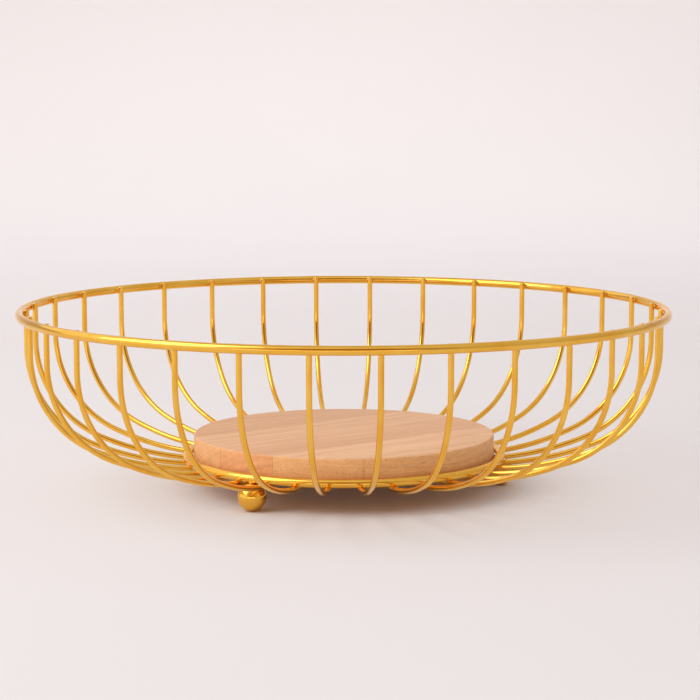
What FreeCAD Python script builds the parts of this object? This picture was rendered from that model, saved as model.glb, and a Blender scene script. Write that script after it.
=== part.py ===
import FreeCAD, Part
import Sketcher
import math
import os

# Wire fruit and vegetable basket: a thick round rim, thirty-two thin ribs that hang from it
# and sweep in to a base ring, a loose round wooden board inside that ring, and three ball
# feet. Millimetres, +Z up. The origin is on the ground, on the basket's centre line.

# Driving dimensions, one spreadsheet row each: alias, value, what it is.
DIMENSIONS = (
    ("rim_diameter", 300.0, "across the outside of the rim ring"),
    ("basket_height", 84.0, "ground to the top of the rim ring"),
    ("rim_wire", 4.0, "thickness of the rim's wire"),
    ("rib_count", 32, "ribs, evenly spaced"),
    ("rib_wire", 2.5, "thickness of a rib's wire"),
    ("rib_top_drop", 0.4, "top of a rib below the top of the rim"),
    ("rib_straight", 16.0, "upright stretch of a rib below the middle of the rim"),
    ("rib_knee_angle", 68.0, "degrees turned by the tight bend, before the slack one"),
    ("rib_tail_start", 7.0, "start of a rib's level end, inward from the base ring's middle"),
    ("rib_tail_end", 10.0, "cut end of a rib, inward from the base ring's middle"),
    ("rib_end_round", 0.35, "rounding of a rib's cut ends"),
    ("base_ring_diameter", 149.5, "across the outside of the base ring"),
    ("base_wire", 4.0, "thickness of the base ring's wire"),
    ("weld_sink", 0.25, "how far one wire or ball sinks into another at a weld"),
    ("foot_count", 3, "ball feet, each in the rib gap nearest to an even spacing"),
    ("foot_ball_diameter", 12.7, "across a ball foot"),
    ("board_thickness", 12.0, "thickness of the wooden board"),
    ("board_ring_gap", 1.25, "gap all round between the board and the base ring"),
    ("board_rest_gap", 0.25, "gap between the board and the rib tails"),
    ("board_edge_round", 1.0, "rounding of the board's top and bottom edges"),
)

document = FreeCAD.newDocument("wire_produce_basket")


def make_sheet():
    """Spreadsheet of the driving dimensions."""
    made = document.addObject("Spreadsheet::Sheet", "sizes")
    for row, (alias, value, meaning) in enumerate(DIMENSIONS, start=1):
        made.set(f"A{row}", alias)
        made.set(f"B{row}", str(value))
        made.setAlias(f"B{row}", alias)
        made.set(f"C{row}", meaning)
    document.recompute()
    return made


sheet = make_sheet()

# Places that several pieces share, as expressions on the sheet.
RIM_RADIUS = "((sizes.rim_diameter - sizes.rim_wire) / 2)"
RIM_LEVEL = "(sizes.basket_height - sizes.rim_wire / 2)"
BASE_RADIUS = "((sizes.base_ring_diameter - sizes.base_wire) / 2)"
BASE_LEVEL = "(sizes.foot_ball_diameter + sizes.base_wire / 2 - sizes.weld_sink)"
RIB_RADIUS = f"({RIM_RADIUS} - sizes.rim_wire / 2 - sizes.rib_wire / 2 + sizes.weld_sink)"
RIB_TOP = "(sizes.basket_height - sizes.rib_top_drop)"
KNEE_LEVEL = f"({RIM_LEVEL} - sizes.rib_straight)"
TAIL_LEVEL = f"({BASE_LEVEL} - sizes.base_wire / 2 - sizes.rib_wire / 2 + sizes.weld_sink)"
TAIL_START = f"({BASE_RADIUS} - sizes.rib_tail_start)"
TAIL_END = f"({BASE_RADIUS} - sizes.rib_tail_end)"
BOARD_BOTTOM = f"({TAIL_LEVEL} + sizes.rib_wire / 2 + sizes.board_rest_gap)"
BOARD_DIAMETER = "(sizes.base_ring_diameter - 2 * sizes.base_wire - 2 * sizes.board_ring_gap)"


def value_of(expression):
    """Number that an expression on the sheet comes to."""
    result = sheet.evalExpression(expression)
    return float(getattr(result, "Value", result))


def origin_plane(body, role):
    """One of a body's own origin planes, such as XY_Plane."""
    return next(item for item in body.Origin.OriginFeatures if item.Role == role)


def add_sketch(body, name, role, height=None):
    """Sketch on one of a body's origin planes, lifted off it by an expression if one is given."""
    sketch = body.newObject("Sketcher::SketchObject", name)
    sketch.AttachmentSupport = [(origin_plane(body, role), "")]
    sketch.MapMode = "FlatFace"
    if height:
        sketch.setExpression("AttachmentOffset.Base.z", height)
    return sketch


def bind(sketch, kind, *where_and_size):
    """Dimension in a sketch, tied to the sheet by the expression that comes last."""
    *where, size = where_and_size
    number = value_of(size)
    if kind == "Angle":
        number = math.radians(number)
    index = sketch.addConstraint(Sketcher.Constraint(kind, *where, number))
    sketch.setExpression(f"Constraints[{index}]", size)


def add_circle(sketch, offset, diameter):
    """Circle on a sketch's X axis, at an offset from the origin."""
    centre = FreeCAD.Vector(value_of(offset) if offset else 0, 0, 0)
    circle = Part.Circle(centre, FreeCAD.Vector(0, 0, 1), value_of(diameter) / 2)
    edge = sketch.addGeometry(circle, False)
    bind(sketch, "Diameter", edge, diameter)
    if offset:
        sketch.addConstraint(Sketcher.Constraint("PointOnObject", edge, 3, -1))
        bind(sketch, "DistanceX", -1, 1, edge, 3, offset)
    else:
        sketch.addConstraint(Sketcher.Constraint("Coincident", edge, 3, -1, 1))


def add_fillet(body, base, name, radius, wanted):
    """Round the edges of a feature whose middles pass a test."""
    names = [
        f"Edge{number}"
        for number, edge in enumerate(base.Shape.Edges, start=1)
        if wanted(edge)
    ]
    fillet = body.newObject("PartDesign::Fillet", name)
    fillet.Base = (base, names)
    fillet.setExpression("Radius", radius)
    body.Tip = fillet


def make_ring(name, radius, wire, level):
    """Closed ring of round wire, butt welded."""
    ring = document.addObject("Part::Torus", name)
    ring.Label = name
    ring.setExpression("Radius1", radius)
    ring.setExpression("Radius2", f"{wire} / 2")
    ring.setExpression("Placement.Base.z", level)
    return ring


def rib_bends():
    """Radii of the tight and the slack bend that join the upright stretch to the level tail."""
    inward = value_of(f"{RIB_RADIUS} - {TAIL_START}")
    down = value_of(f"{KNEE_LEVEL} - {TAIL_LEVEL}")
    knee = math.radians(value_of("sizes.rib_knee_angle"))
    share = 1 - math.cos(knee) - math.sin(knee)
    tight = (inward * (1 - math.sin(knee)) - down * math.cos(knee)) / share
    slack = (down * (1 - math.cos(knee)) - inward * math.sin(knee)) / share
    return tight, slack


def draw_rib_path(sketch):
    """Centre line of a rib: upright, tight bend, slack bend and level tail, each one tangent."""
    tight, slack = rib_bends()
    knee = math.radians(value_of("sizes.rib_knee_angle"))
    upright = value_of(RIB_RADIUS)
    knee_level = value_of(KNEE_LEVEL)
    tail_level = value_of(TAIL_LEVEL)
    tail_start = value_of(TAIL_START)
    normal = FreeCAD.Vector(0, 0, 1)
    top = FreeCAD.Vector(upright, value_of(RIB_TOP), 0)
    bend_start = FreeCAD.Vector(upright, knee_level, 0)
    tight_circle = Part.Circle(FreeCAD.Vector(upright - tight, knee_level, 0), normal, tight)
    slack_circle = Part.Circle(FreeCAD.Vector(tail_start, tail_level + slack, 0), normal, slack)
    bend_end = FreeCAD.Vector(tail_start, tail_level, 0)
    tail_end = FreeCAD.Vector(value_of(TAIL_END), tail_level, 0)

    stem = sketch.addGeometry(Part.LineSegment(top, bend_start), False)
    first = sketch.addGeometry(Part.ArcOfCircle(tight_circle, -knee, 0), False)
    second = sketch.addGeometry(Part.ArcOfCircle(slack_circle, -math.pi / 2, -knee), False)
    tail = sketch.addGeometry(Part.LineSegment(bend_end, tail_end), False)

    sketch.addConstraint(Sketcher.Constraint("Vertical", stem))
    sketch.addConstraint(Sketcher.Constraint("Horizontal", tail))
    sketch.addConstraint(Sketcher.Constraint("Tangent", stem, 2, first, 2))
    sketch.addConstraint(Sketcher.Constraint("Tangent", first, 1, second, 2))
    sketch.addConstraint(Sketcher.Constraint("Tangent", second, 1, tail, 1))
    bind(sketch, "DistanceX", -1, 1, stem, 1, RIB_RADIUS)
    bind(sketch, "DistanceY", -1, 1, stem, 1, RIB_TOP)
    bind(sketch, "DistanceY", -1, 1, stem, 2, KNEE_LEVEL)
    bind(sketch, "Angle", first, "sizes.rib_knee_angle")
    bind(sketch, "DistanceX", -1, 1, tail, 1, TAIL_START)
    bind(sketch, "DistanceY", -1, 1, tail, 1, TAIL_LEVEL)
    bind(sketch, "DistanceX", -1, 1, tail, 2, TAIL_END)


def is_rib_end(edge):
    """True for the round edge of a rib's top or tail end."""
    middle = edge.BoundBox.Center
    at_top = abs(middle.z - value_of(RIB_TOP)) < 0.01
    at_tail = abs(middle.x - value_of(TAIL_END)) < 0.01
    return at_top or at_tail


def make_rib(number):
    """Rib number 1, 2, 3 ...: one bent wire, half a spacing off the X axis and on from there."""
    name = f"rib_{number:02d}"
    body = document.addObject("PartDesign::Body", name)
    body.Label = name
    section = add_sketch(body, f"{name}_section", "XY_Plane", RIB_TOP)
    add_circle(section, RIB_RADIUS, "sizes.rib_wire")
    path = add_sketch(body, f"{name}_path", "XZ_Plane")
    draw_rib_path(path)
    document.recompute()

    wire = body.newObject("PartDesign::AdditivePipe", f"{name}_wire")
    wire.Profile = section
    wire.Spine = (path, [f"Edge{edge}" for edge in range(1, path.GeometryCount + 1)])
    document.recompute()
    add_fillet(body, wire, f"{name}_ends", "sizes.rib_end_round", is_rib_end)

    body.Placement = FreeCAD.Placement(FreeCAD.Vector(), FreeCAD.Vector(0, 0, 1), 1)
    body.setExpression("Placement.Rotation.Angle", f"360 / sizes.rib_count * {number - 0.5}")
    return body


def make_foot(number):
    """Ball foot under the base ring, in the middle of the gap between two ribs."""
    name = f"foot_ball_{number}"
    gap = f"round({number - 1} * sizes.rib_count / sizes.foot_count)"
    azimuth = f"({gap} * 360 / sizes.rib_count)"
    ball = document.addObject("Part::Sphere", name)
    ball.Label = name
    ball.setExpression("Radius", "sizes.foot_ball_diameter / 2")
    ball.setExpression("Placement.Base.x", f"{BASE_RADIUS} * cos({azimuth})")
    ball.setExpression("Placement.Base.y", f"{BASE_RADIUS} * sin({azimuth})")
    ball.setExpression("Placement.Base.z", "sizes.foot_ball_diameter / 2")
    return ball


def make_board():
    """Round wooden board that drops into the base ring and rests on the rib tails."""
    body = document.addObject("PartDesign::Body", "wooden_board")
    body.Label = "wooden_board"
    outline = add_sketch(body, "board_outline", "XY_Plane", BOARD_BOTTOM)
    add_circle(outline, None, BOARD_DIAMETER)
    pad = body.newObject("PartDesign::Pad", "board_blank")
    pad.Profile = outline
    pad.setExpression("Length", "sizes.board_thickness")
    document.recompute()
    add_fillet(
        body, pad, "board_edges", "sizes.board_edge_round",
        lambda edge: isinstance(edge.Curve, Part.Circle),
    )
    return body


def check(pieces):
    """Stop unless everything computed and every piece is one valid solid."""
    for item in document.Objects:
        if "Invalid" in item.State or "Error" in item.State:
            raise RuntimeError(f"{item.Name} did not compute: {item.State}")
        if item.TypeId == "Sketcher::SketchObject" and not item.FullyConstrained:
            raise RuntimeError(f"{item.Name} is not fully constrained")
    for piece in pieces:
        shape = piece.Shape
        if shape.isNull() or not shape.isValid() or len(shape.Solids) != 1:
            raise RuntimeError(f"{piece.Label} is not one valid solid")


pieces = [
    make_ring("rim_ring", RIM_RADIUS, "sizes.rim_wire", RIM_LEVEL),
    make_ring("base_ring", BASE_RADIUS, "sizes.base_wire", BASE_LEVEL),
    make_board(),
]
pieces += [make_rib(number) for number in range(1, int(sheet.rib_count) + 1)]
pieces += [make_foot(number) for number in range(1, int(sheet.foot_count) + 1)]
document.recompute()
check(pieces)

os.makedirs("parts", exist_ok=True)
for piece in pieces:
    piece.Shape.exportStep(f"parts/{piece.Label}.step")
print(f"{len(pieces)} pieces written")
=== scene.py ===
import math

import bpy
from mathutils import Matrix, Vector


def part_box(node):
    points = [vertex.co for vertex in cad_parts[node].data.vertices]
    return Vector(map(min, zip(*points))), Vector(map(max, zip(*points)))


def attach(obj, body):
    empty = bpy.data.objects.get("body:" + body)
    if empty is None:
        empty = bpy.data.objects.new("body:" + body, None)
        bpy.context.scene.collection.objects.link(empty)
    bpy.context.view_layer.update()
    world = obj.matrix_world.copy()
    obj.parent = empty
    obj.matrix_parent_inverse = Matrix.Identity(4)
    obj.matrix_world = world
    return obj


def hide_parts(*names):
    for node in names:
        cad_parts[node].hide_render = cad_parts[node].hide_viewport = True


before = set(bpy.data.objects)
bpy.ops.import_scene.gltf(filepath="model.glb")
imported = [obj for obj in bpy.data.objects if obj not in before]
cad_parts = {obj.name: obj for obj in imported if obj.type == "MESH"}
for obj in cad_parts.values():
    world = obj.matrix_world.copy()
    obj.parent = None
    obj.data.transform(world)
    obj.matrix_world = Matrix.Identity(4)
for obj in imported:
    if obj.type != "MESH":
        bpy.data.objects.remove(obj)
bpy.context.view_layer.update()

# ---- Rim ring -------------------------------------------------------------------------------
# One length of thick round steel wire, rolled into a circle and butt welded at the back, where
# a low bead is left after grinding. It is plated gold together with all the other wire.

rim_low, rim_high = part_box("rim_ring")
rim_wire = rim_high.z - rim_low.z
rim_radius = (rim_high.y - rim_low.y - rim_wire) / 2
rim_level = (rim_low.z + rim_high.z) / 2
rim_weld_azimuth = math.radians(96)
gold_colour = (0.92, 0.55, 0.095)
gold_deep_colour = (0.87, 0.46, 0.055)
gold_glance = (1.0, 0.95, 0.88, 1)
ripple_depth = 0.000015
grit_depth = 0.0000015


def new_material(name):
    """Plain node material, with its node tree and its shader."""
    material = bpy.data.materials.new(name)
    material.use_nodes = True
    tree = material.node_tree
    shader = tree.nodes["Principled BSDF"]
    return material, tree, shader


def object_noise(tree, scale, detail):
    """Noise on object coordinates."""
    place = tree.nodes.new("ShaderNodeTexCoord")
    noise = tree.nodes.new("ShaderNodeTexNoise")
    noise.inputs["Scale"].default_value = scale
    noise.inputs["Detail"].default_value = detail
    tree.links.new(place.outputs["Object"], noise.inputs["Vector"])
    return noise.outputs["Fac"]


def spread(tree, value, low, high, to_low, to_high):
    """Part of a value's range, spread over another range."""
    node = tree.nodes.new("ShaderNodeMapRange")
    node.inputs["From Min"].default_value = low
    node.inputs["From Max"].default_value = high
    node.inputs["To Min"].default_value = to_low
    node.inputs["To Max"].default_value = to_high
    tree.links.new(value, node.inputs["Value"])
    return node.outputs["Result"]


def blend_colours(tree, factor, first, second, mode="MIX"):
    """Mix of two colours; each is a colour or a socket."""
    node = tree.nodes.new("ShaderNodeMix")
    node.data_type = "RGBA"
    node.blend_type = mode
    for name, value in (("Factor_Float", factor), ("A_Color", first), ("B_Color", second)):
        socket = next(item for item in node.inputs if item.identifier == name)
        if isinstance(value, bpy.types.NodeSocket):
            tree.links.new(value, socket)
        elif isinstance(value, tuple):
            socket.default_value = (*value, 1)
        else:
            socket.default_value = value
    return next(item for item in node.outputs if item.identifier == "Result_Color")


def bump(tree, shader, height, distance, strength=1.0):
    """Surface relief from a height, over any relief that the shader already has."""
    node = tree.nodes.new("ShaderNodeBump")
    node.inputs["Distance"].default_value = distance
    node.inputs["Strength"].default_value = strength
    tree.links.new(height, node.inputs["Height"])
    if shader.inputs["Normal"].links:
        tree.links.new(shader.inputs["Normal"].links[0].from_socket, node.inputs["Normal"])
    tree.links.new(node.outputs["Normal"], shader.inputs["Normal"])


def gold_plating(name, bright, deep, smoothest, roughest):
    """Bright gold plating on drawn wire: cloudy tone, handling haze and a faint ripple."""
    material, tree, shader = new_material(name)
    shader.inputs["Metallic"].default_value = 1.0
    shader.inputs["Specular Tint"].default_value = gold_glance
    clouds = object_noise(tree, scale=60, detail=3)
    tone = spread(tree, clouds, 0.35, 0.65, 0, 1)
    colour = blend_colours(tree, tone, deep, bright)
    tree.links.new(colour, shader.inputs["Base Color"])
    haze = object_noise(tree, scale=240, detail=6)
    rough = spread(tree, haze, 0.35, 0.7, smoothest, roughest)
    tree.links.new(rough, shader.inputs["Roughness"])
    ripple = object_noise(tree, scale=420, detail=2)
    bump(tree, shader, ripple, ripple_depth)
    grit = object_noise(tree, scale=2600, detail=3)
    bump(tree, shader, grit, grit_depth)
    return material


def finish_piece(piece, name, material, body):
    """Name, smooth shading, material and body of a finished piece, with its place in its mesh."""
    bpy.ops.object.select_all(action="DESELECT")
    piece.select_set(True)
    bpy.context.view_layer.objects.active = piece
    bpy.ops.object.transform_apply(location=True, rotation=True, scale=True)
    bpy.ops.object.shade_smooth()
    piece.name = name
    piece.data.name = name
    piece.data.materials.clear()
    piece.data.materials.append(material)
    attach(piece, body)


def select_vertices(piece, wanted):
    """In edit mode, select the vertices whose place passes a test, and nothing else."""
    bpy.ops.mesh.select_mode(type="VERT")
    bpy.ops.mesh.select_all(action="DESELECT")
    bpy.ops.object.mode_set(mode="OBJECT")
    for vertex in piece.data.vertices:
        vertex.select = wanted(piece.matrix_world @ vertex.co)
    bpy.ops.object.mode_set(mode="EDIT")


def roll_ring(radius, wire, level, weld_azimuth, sides=24, steps=240):
    """Ring of round wire, rolled about the centre line, with a low bead where its ends meet."""
    bead_reach = wire * 0.56
    bead_height = wire * 0.02
    bead_slope = wire * 0.22
    near_weld = wire * 0.8
    bpy.ops.object.select_all(action="DESELECT")
    start = Vector((radius * math.cos(weld_azimuth), radius * math.sin(weld_azimuth), level))
    bpy.ops.mesh.primitive_circle_add(
        vertices=sides, radius=wire / 2, location=start, rotation=(math.pi / 2, 0, weld_azimuth)
    )
    ring = bpy.context.object
    bpy.ops.object.mode_set(mode="EDIT")
    bpy.ops.mesh.select_all(action="SELECT")
    bpy.ops.mesh.spin(steps=steps, angle=2 * math.pi, center=(0, 0, level), axis=(0, 0, 1))
    bpy.ops.mesh.select_all(action="SELECT")
    bpy.ops.mesh.remove_doubles(threshold=0.00001)
    bpy.ops.mesh.normals_make_consistent(inside=False)
    select_vertices(ring, lambda place: (place - start).length < near_weld)
    bpy.ops.mesh.bevel(offset=bead_slope, offset_type="OFFSET", segments=3, profile=0.5)
    select_vertices(ring, lambda place: (place - start).length < bead_reach)
    bpy.ops.transform.shrink_fatten(value=bead_height)
    bpy.ops.object.mode_set(mode="OBJECT")
    return ring


gold = gold_plating(
    "gold_plating", gold_colour, gold_deep_colour, smoothest=0.07, roughest=0.17
)
rim = roll_ring(rim_radius, rim_wire, rim_level, rim_weld_azimuth)
finish_piece(rim, "rim_wire_ring", gold, "wire_basket")
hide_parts("rim_ring")

# ---- Ribs -----------------------------------------------------------------------------------
# Thin steel wires, cut to length and bent over a former, each spot welded inside the rim and
# under the base ring. Their shape is the frame's own; here they get their plating.

rib_names = sorted(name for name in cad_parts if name.startswith("rib_"))
rib_spacing = 2 * math.pi / len(rib_names)
for name in rib_names:
    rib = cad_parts[name]
    rib.data.materials.clear()
    rib.data.materials.append(gold)

# ---- Base ring ------------------------------------------------------------------------------
# A smaller ring of the same thick wire, laid on the ribs and welded to each one. It keeps the
# board in place and carries the three feet.

base_low, base_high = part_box("base_ring")
base_wire = base_high.z - base_low.z
base_radius = (base_high.y - base_low.y - base_wire) / 2
base_level = (base_low.z + base_high.z) / 2
base_weld_azimuth = math.radians(90)
base = roll_ring(base_radius, base_wire, base_level, base_weld_azimuth, steps=160)
finish_piece(base, "base_wire_ring", gold, "wire_basket")
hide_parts("base_ring")

# ---- Spot welds -----------------------------------------------------------------------------
# Where a rib crosses a ring the two wires are pressed and fused, which squeezes a little metal
# out round the contact. The squeezed metal is duller than the drawn wire, and its darker gold is
# painted shade where the wires meet.

rim_bead_size = (0.0012, 0.0036, 0.0026)
base_bead_size = (0.0030, 0.0036, 0.0012)
weld_unevenness = 0.00012
# The beads' darker, browner gold is painted shade where rib and ring meet; their roughness is the
# weld metal's own.
weld_shade_colour = (0.66, 0.50, 0.19)
weld_shade_deep_colour = (0.48, 0.35, 0.12)
weld_gold_painted_shade = gold_plating(
    "weld_gold_painted_shade", weld_shade_colour, weld_shade_deep_colour, smoothest=0.2, roughest=0.34
)


def weld_bead(place, size, turn):
    """One bead of squeezed metal: a ball flattened to its size."""
    bpy.ops.object.select_all(action="DESELECT")
    bpy.ops.mesh.primitive_uv_sphere_add(segments=14, ring_count=9, radius=0.5, location=place)
    bead = bpy.context.object
    bead.scale = size
    bead.rotation_euler = (0, 0, turn)
    bpy.ops.object.transform_apply(location=True, rotation=True, scale=True)
    return bead


def join_pieces(pieces):
    """One object from several."""
    bpy.ops.object.select_all(action="DESELECT")
    for piece in pieces:
        piece.select_set(True)
    bpy.context.view_layer.objects.active = pieces[0]
    bpy.ops.object.join()
    return bpy.context.object


def copy_turned(piece, turn):
    """Copy of a piece with its own mesh, turned about the basket's axis."""
    bpy.ops.object.select_all(action="DESELECT")
    piece.select_set(True)
    bpy.context.view_layer.objects.active = piece
    bpy.ops.object.duplicate()
    bpy.ops.transform.rotate(value=turn, orient_axis="Z", center_override=(0, 0, 0))
    bpy.ops.object.transform_apply(location=True, rotation=True, scale=True)
    return bpy.context.object


def roughen(piece, offset, seed):
    """Uneven surface on beads of weld metal, different on each one."""
    bpy.ops.object.select_all(action="DESELECT")
    bpy.context.view_layer.objects.active = piece
    bpy.ops.object.mode_set(mode="EDIT")
    bpy.ops.mesh.select_all(action="SELECT")
    bpy.ops.transform.vertex_random(offset=offset, seed=seed)
    bpy.ops.mesh.vertices_smooth(factor=0.4)
    bpy.ops.object.mode_set(mode="OBJECT")


first_rib = Vector((math.cos(rib_spacing / 2), math.sin(rib_spacing / 2), 0))
rim_contact = first_rib * (rim_radius - rim_wire / 2) + Vector((0, 0, rim_level))
base_contact = first_rib * base_radius + Vector((0, 0, base_level - base_wire / 2))
rim_beads = [weld_bead(rim_contact, rim_bead_size, rib_spacing / 2)]
base_beads = [weld_bead(base_contact, base_bead_size, rib_spacing / 2)]
for number in range(1, len(rib_names)):
    rim_beads.append(copy_turned(rim_beads[0], number * rib_spacing))
    base_beads.append(copy_turned(base_beads[0], number * rib_spacing))
rim_welds = join_pieces(rim_beads)
roughen(rim_welds, weld_unevenness, seed=3)
finish_piece(rim_welds, "rim_welds", weld_gold_painted_shade, "wire_basket")
base_welds = join_pieces(base_beads)
roughen(base_welds, weld_unevenness, seed=4)
finish_piece(base_welds, "base_ring_welds", weld_gold_painted_shade, "wire_basket")

# ---- Ball feet ------------------------------------------------------------------------------
# Three solid steel balls, each welded on top to the underside of the base ring with a small
# fillet of weld metal, and plated with the basket.

foot_bead_size = (0.0034, 0.0042, 0.0012)
foot_weld_unevenness = 0.0001
foot_names = sorted(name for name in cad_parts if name.startswith("foot_ball"))
foot_tops = []
for name in foot_names:
    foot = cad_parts[name]
    foot.data.materials.clear()
    foot.data.materials.append(gold)
    foot_low, foot_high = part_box(name)
    top = (foot_low + foot_high) / 2
    top.z = foot_high.z
    foot_tops.append(top)
first_foot_azimuth = math.atan2(foot_tops[0].y, foot_tops[0].x)
foot_beads = [weld_bead(foot_tops[0], foot_bead_size, first_foot_azimuth)]
for top in foot_tops[1:]:
    bpy.ops.object.select_all(action="DESELECT")
    foot_beads[0].select_set(True)
    bpy.ops.object.duplicate()
    bpy.ops.transform.translate(value=top - foot_tops[0])
    foot_beads.append(bpy.context.selected_objects[0])
foot_welds = join_pieces(foot_beads)
roughen(foot_welds, foot_weld_unevenness, seed=5)
finish_piece(foot_welds, "foot_welds", weld_gold_painted_shade, "wire_basket")

# ---- Wooden board ---------------------------------------------------------------------------
# A round of pale rubberwood, glued up from straight staves, turned to size, its edges eased and
# sanded, and wiped with thin oil. It lies loose in the base ring on the rib tails.

board_low, board_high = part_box("wooden_board")
board_radius = (board_high.x - board_low.x) / 2
board_thickness = board_high.z - board_low.z
grain_turn = math.radians(38)
stave_width = 0.030
first_joint = -0.0595
edge_ease = 0.001
joint_gap = 0.00006
same_level = 1e-6
side_slope = 0.6
stave_tones = (0.85, 0.95, 0.6, 0.75, 0.4, 0.6)
stave_blushes = (0.1, 0.15, 0.85, 0.25, 0.3, 0.1)
heartwood = (0.70, 0.39, 0.205)
sapwood = (0.92, 0.585, 0.345)
blushed_wood = (0.88, 0.47, 0.27)
pore_brown = (0.30, 0.15, 0.08)
band_shade = (0.80, 0.70, 0.62)
streak_shade = (0.86, 0.78, 0.72)
fibre_shade = (0.90, 0.86, 0.82)
band_scale = 560
band_wander = 0.016
pith_depth = 0.045
pith_step = 0.031
first_pith = -0.06
fibre_depth = 0.00003
pore_depth = 0.00006
pore_fade = 0.06
first_seed = 0.11
seed_step = 0.37
seed_stretch = 7.3


def set_number(piece, name, value):
    """The same number on every vertex of a piece, for its material to read."""
    attribute = piece.data.attributes.new(name, "FLOAT", "POINT")
    attribute.data.foreach_set("value", [value] * len(piece.data.vertices))


def read_number(tree, name):
    """Number that a piece carries on its vertices."""
    node = tree.nodes.new("ShaderNodeAttribute")
    node.attribute_name = name
    return node.outputs["Fac"]


def calculate(tree, operation, *values):
    """One step of arithmetic on numbers or sockets."""
    node = tree.nodes.new("ShaderNodeMath")
    node.operation = operation
    for socket, value in zip(node.inputs, values):
        if isinstance(value, bpy.types.NodeSocket):
            tree.links.new(value, socket)
        else:
            socket.default_value = value
    return node.outputs[0]


def shaded(tree, amount, colour, shade):
    """Colour multiplied by a shade, by an amount from 0 to 1."""
    dark = blend_colours(tree, 1.0, colour, shade, "MULTIPLY")
    return blend_colours(tree, amount, colour, dark)


def rubberwood(name, painted_bounce_tint, pore_start, blush_share):
    """Solid rubberwood: growth bands about a far pith, fibres and open pores along the grain."""
    material, tree, shader = new_material(name)
    seed = read_number(tree, "stave_seed")
    tone = read_number(tree, "stave_tone")
    blush = calculate(tree, "MULTIPLY", read_number(tree, "stave_blush"), blush_share)
    place = tree.nodes.new("ShaderNodeTexCoord")
    turn = tree.nodes.new("ShaderNodeVectorRotate")
    turn.rotation_type = "Z_AXIS"
    turn.inputs["Angle"].default_value = -grain_turn
    tree.links.new(place.outputs["Object"], turn.inputs["Vector"])
    parts = tree.nodes.new("ShaderNodeSeparateXYZ")
    tree.links.new(turn.outputs["Vector"], parts.inputs["Vector"])
    along, across, up = parts.outputs

    def grain_noise(along_scale, across_scale, detail, shift):
        """Noise stretched along the grain, different in each stave."""
        joined = tree.nodes.new("ShaderNodeCombineXYZ")
        tree.links.new(calculate(tree, "MULTIPLY", along, along_scale), joined.inputs["X"])
        tree.links.new(calculate(tree, "MULTIPLY", across, across_scale), joined.inputs["Y"])
        tree.links.new(calculate(tree, "MULTIPLY", up, across_scale), joined.inputs["Z"])
        noise = tree.nodes.new("ShaderNodeTexNoise")
        noise.noise_dimensions = "4D"
        noise.inputs["Scale"].default_value = 1.0
        noise.inputs["Detail"].default_value = detail
        tree.links.new(joined.outputs["Vector"], noise.inputs["Vector"])
        own_grain = calculate(tree, "MULTIPLY_ADD", seed, seed_stretch, shift)
        tree.links.new(own_grain, noise.inputs["W"])
        return noise.outputs["Fac"]

    # Growth bands: distance from a pith line well outside the stave, bent by slow noise.
    pith = calculate(tree, "MULTIPLY_ADD", seed, pith_step, first_pith)
    away = calculate(tree, "SUBTRACT", across, pith)
    depth = calculate(tree, "ADD", up, pith_depth)
    distance = calculate(tree, "SQRT", calculate(
        tree, "ADD", calculate(tree, "POWER", away, 2.0), calculate(tree, "POWER", depth, 2.0)
    ))
    slow_bend = grain_noise(along_scale=9, across_scale=22, detail=3, shift=0.0)
    wander = calculate(tree, "MULTIPLY", slow_bend, band_wander)
    rings = tree.nodes.new("ShaderNodeTexNoise")
    rings.noise_dimensions = "1D"
    rings.inputs["Scale"].default_value = band_scale
    rings.inputs["Detail"].default_value = 3
    ring_place = calculate(tree, "ADD", calculate(tree, "ADD", distance, wander), seed)
    tree.links.new(ring_place, rings.inputs["W"])
    bands = spread(tree, rings.outputs["Fac"], 0.34, 0.70, 0, 1)
    fine_grain = grain_noise(along_scale=45, across_scale=1500, detail=4, shift=3.0)
    fibres = spread(tree, fine_grain, 0.3, 0.7, 0, 1)
    coarse_grain = grain_noise(along_scale=14, across_scale=260, detail=3, shift=5.0)
    streaks = spread(tree, coarse_grain, 0.35, 0.68, 0, 1)
    open_grain = grain_noise(along_scale=160, across_scale=2600, detail=1, shift=9.0)
    pores = spread(tree, open_grain, pore_start, pore_start + pore_fade, 0, 1)

    colour = blend_colours(tree, tone, heartwood, sapwood)
    colour = blend_colours(tree, blush, colour, blushed_wood)
    colour = shaded(tree, calculate(tree, "MULTIPLY", bands, 0.55), colour, band_shade)
    colour = shaded(tree, calculate(tree, "MULTIPLY", streaks, 0.6), colour, streak_shade)
    colour = shaded(tree, calculate(tree, "MULTIPLY", fibres, 0.9), colour, fibre_shade)
    colour = blend_colours(tree, calculate(tree, "MULTIPLY", pores, 0.55), colour, pore_brown)
    # Tint over the whole colour: neutral on the top, and on the sides a painted warm reflection
    # of light from the gold wires.
    colour = blend_colours(tree, 1.0, colour, painted_bounce_tint, "MULTIPLY")
    tree.links.new(colour, shader.inputs["Base Color"])
    rough = spread(tree, fibres, 0, 1, 0.46, 0.62)
    tree.links.new(rough, shader.inputs["Roughness"])
    shader.inputs["Specular IOR Level"].default_value = 0.35
    bump(tree, shader, fibres, fibre_depth, strength=0.6)
    bump(tree, shader, calculate(tree, "SUBTRACT", 1.0, pores), pore_depth, strength=0.6)
    return material


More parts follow.
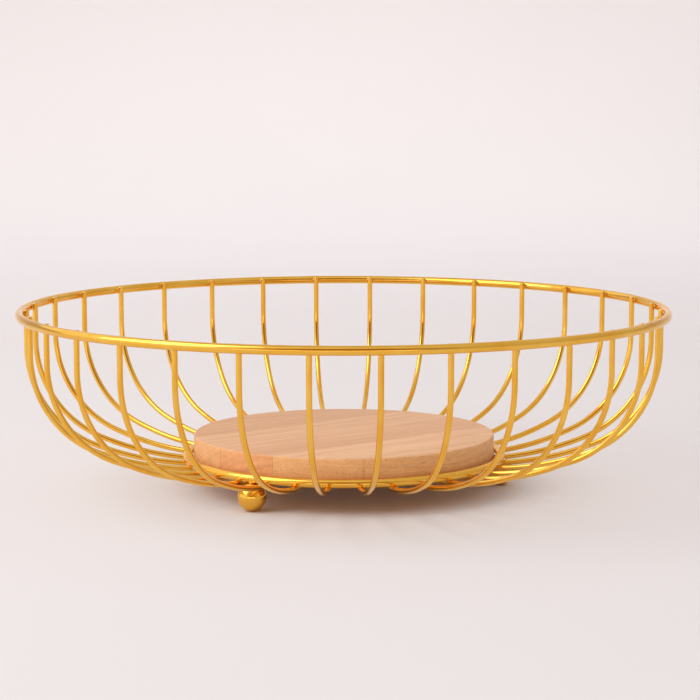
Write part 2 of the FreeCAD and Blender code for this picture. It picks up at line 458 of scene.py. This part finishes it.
def cut_stave(low, high):
    """One stave: the turned round, cut off square on both sides and closed again."""
    bpy.ops.object.select_all(action="DESELECT")
    bpy.ops.mesh.primitive_cylinder_add(
        vertices=192, radius=board_radius, depth=board_thickness,
        location=(0, 0, (board_low.z + board_high.z) / 2),
    )
    stave = bpy.context.object
    bpy.ops.object.mode_set(mode="EDIT")
    bpy.ops.mesh.select_all(action="DESELECT")
    bpy.ops.object.mode_set(mode="OBJECT")
    for edge in stave.data.edges:
        levels = [stave.data.vertices[index].co.z for index in edge.vertices]
        edge.select = abs(levels[0] - levels[1]) < same_level
    bpy.ops.object.mode_set(mode="EDIT")
    bpy.ops.mesh.select_mode(type="EDGE")
    bpy.ops.mesh.bevel(offset=edge_ease, segments=4, profile=0.5)
    across = Vector((-math.sin(grain_turn), math.cos(grain_turn), 0))
    for limit, keep_above in ((low, True), (high, False)):
        bpy.ops.mesh.select_all(action="SELECT")
        bpy.ops.mesh.bisect(
            plane_co=across * limit, plane_no=across, use_fill=True,
            clear_inner=keep_above, clear_outer=not keep_above,
        )
    bpy.ops.object.mode_set(mode="OBJECT")
    return stave


wood = rubberwood("rubberwood", painted_bounce_tint=(1.0, 1.0, 1.0), pore_start=0.67, blush_share=0.25)
# The sides carry a painted warm reflection of light from the gold wires, and show more open
# pores.
edge_wood_painted_bounce = rubberwood(
    "rubberwood_edge_painted_bounce", painted_bounce_tint=(1.07, 1.02, 0.80), pore_start=0.62, blush_share=1.0
)
staves = []
for number, tone in enumerate(stave_tones):
    low = first_joint + (number - 1) * stave_width + joint_gap
    high = first_joint + number * stave_width - joint_gap
    stave = cut_stave(low, high)
    set_number(stave, "stave_seed", number * seed_step + first_seed)
    set_number(stave, "stave_tone", tone)
    set_number(stave, "stave_blush", stave_blushes[number])
    staves.append(stave)
board = join_pieces(staves)
finish_piece(board, "staved_board", wood, "board")
board.data.materials.append(edge_wood_painted_bounce)
for face in board.data.polygons:
    if abs(face.normal.z) < side_slope:
        face.material_index = 1
bpy.ops.object.shade_smooth_by_angle(angle=math.radians(40))
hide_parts("wooden_board")

# ---- Floor and backdrop ---------------------------------------------------------------------
# A plain pale sweep of paper: flat under the basket and rising behind it.

sweep_half_width = 6.0
sweep_front = -5.0
sweep_back = 1.6
sweep_bend = 0.8
sweep_height = 0.5
back_edge = sweep_back - 0.01
paper_dull = (0.80, 0.775, 0.78)
paper_clear = (0.84, 0.81, 0.81)
bpy.ops.object.select_all(action="DESELECT")
bpy.ops.mesh.primitive_plane_add(size=2)
sweep = bpy.context.object
sweep.scale = (sweep_half_width, (sweep_back - sweep_front) / 2, 1)
sweep.location = (0, (sweep_back + sweep_front) / 2, 0)
bpy.ops.object.transform_apply(location=True, rotation=True, scale=True)
bpy.ops.object.mode_set(mode="EDIT")
select_vertices(sweep, lambda place: place.y > back_edge)
bpy.ops.mesh.spin(
    steps=24, angle=-math.pi / 2, center=(0, sweep_back, sweep_bend), axis=(1, 0, 0)
)
bpy.ops.mesh.extrude_region_move(TRANSFORM_OT_translate={"value": (0, 0, sweep_height)})
bpy.ops.object.mode_set(mode="OBJECT")
bpy.ops.object.shade_smooth()
sweep.name = "paper_sweep"
paper, paper_tree, paper_shader = new_material("paper")
paper_grain = object_noise(paper_tree, scale=3, detail=4)
paper_colour = blend_colours(paper_tree, paper_grain, paper_dull, paper_clear)
paper_tree.links.new(paper_colour, paper_shader.inputs["Base Color"])
paper_shader.inputs["Roughness"].default_value = 0.7
paper_shader.inputs["Specular IOR Level"].default_value = 0.2
sweep.data.materials.append(paper)

# ---- Light and camera -----------------------------------------------------------------------
# A large soft light high on the left, a second one that falls mostly on the backdrop, and a
# low, warm strip in front. The pale room is brightest on the left and dark behind the camera.

key_place = (-1.35, -0.45, 1.30)
key_target = (0, 0, 0.04)
key_colour = (1, 0.99, 0.98)
wall_place = (0, 1.5, 1.7)
wall_target = (0, 2.0, 0)
wall_colour = (0.95, 0.97, 1.0)
low_place = (-0.3, -2.0, 0.16)
low_target = (-0.3, 0, 0.16)
low_colour = (1, 0.82, 0.64)
left = (-1, 0, 0)
overhead = (0.05, 0.35, 0.94)
behind_camera = (0, -0.97, 0.24)
left_room = (1.12, 1.10, 1.13)
right_room = (0.62, 0.58, 0.56)
ceiling = (0.68, 0.65, 0.65)
dark_end = (0.28, 0.15, 0.05)
seen_room = (0.66, 0.63, 0.64)
camera_place = (-0.0031, -0.9678, 0.1876)
camera_pitch = math.radians(90 - 7.32)
camera_turn = math.radians(-0.35)
camera_lens = 108.5


def soft_light(name, place, target, width, height, power, colour, beam=180):
    """Soft rectangular light that faces a target; its beam is an angle in degrees."""
    data = bpy.data.lights.new(name, "AREA")
    data.shape = "RECTANGLE"
    data.size = width
    data.size_y = height
    data.energy = power
    data.color = colour
    data.spread = math.radians(beam)
    light = bpy.data.objects.new(name, data)
    light.location = place
    light.rotation_euler = (Vector(target) - Vector(place)).to_track_quat("-Z", "Y").to_euler()
    bpy.context.scene.collection.objects.link(light)


soft_light(
    "key_light", key_place, key_target, width=1.4, height=1.4, power=16, colour=key_colour
)
soft_light(
    "wall_light", wall_place, wall_target, width=2.0, height=1.0, power=4, colour=wall_colour,
    beam=100,
)
soft_light(
    "low_light", low_place, low_target, width=2.4, height=0.3, power=3.5, colour=low_colour
)
room = bpy.data.worlds.new("room")
bpy.context.scene.world = room
room.use_nodes = True
room_tree = room.node_tree
room_place = room_tree.nodes.new("ShaderNodeTexCoord")


def toward(direction, low, high):
    """How far a direction of the room turns toward a given one, from 0 to 1."""
    dot = room_tree.nodes.new("ShaderNodeVectorMath")
    dot.operation = "DOT_PRODUCT"
    dot.inputs[1].default_value = Vector(direction).normalized()
    room_tree.links.new(room_place.outputs["Generated"], dot.inputs[0])
    return spread(room_tree, dot.outputs["Value"], low, high, 0, 1)


room_colour = blend_colours(room_tree, toward(left, -0.8, 0.6), right_room, left_room)
room_colour = blend_colours(room_tree, toward(overhead, 0.72, 0.98), room_colour, ceiling)
room_colour = blend_colours(room_tree, toward(behind_camera, 0.68, 0.97), room_colour, dark_end)
room_path = room_tree.nodes.new("ShaderNodeLightPath")
is_seen = room_path.outputs["Is Camera Ray"]
room_colour = blend_colours(room_tree, is_seen, room_colour, seen_room)
room_tree.links.new(room_colour, room_tree.nodes["Background"].inputs["Color"])

camera_data = bpy.data.cameras.new("camera")
camera_data.lens = camera_lens
camera_data.sensor_width = 36
camera = bpy.data.objects.new("camera", camera_data)
camera.location = camera_place
camera.rotation_euler = (camera_pitch, 0, camera_turn)
bpy.context.scene.collection.objects.link(camera)
bpy.context.scene.camera = camera
bpy.context.scene.view_settings.view_transform = "Standard"
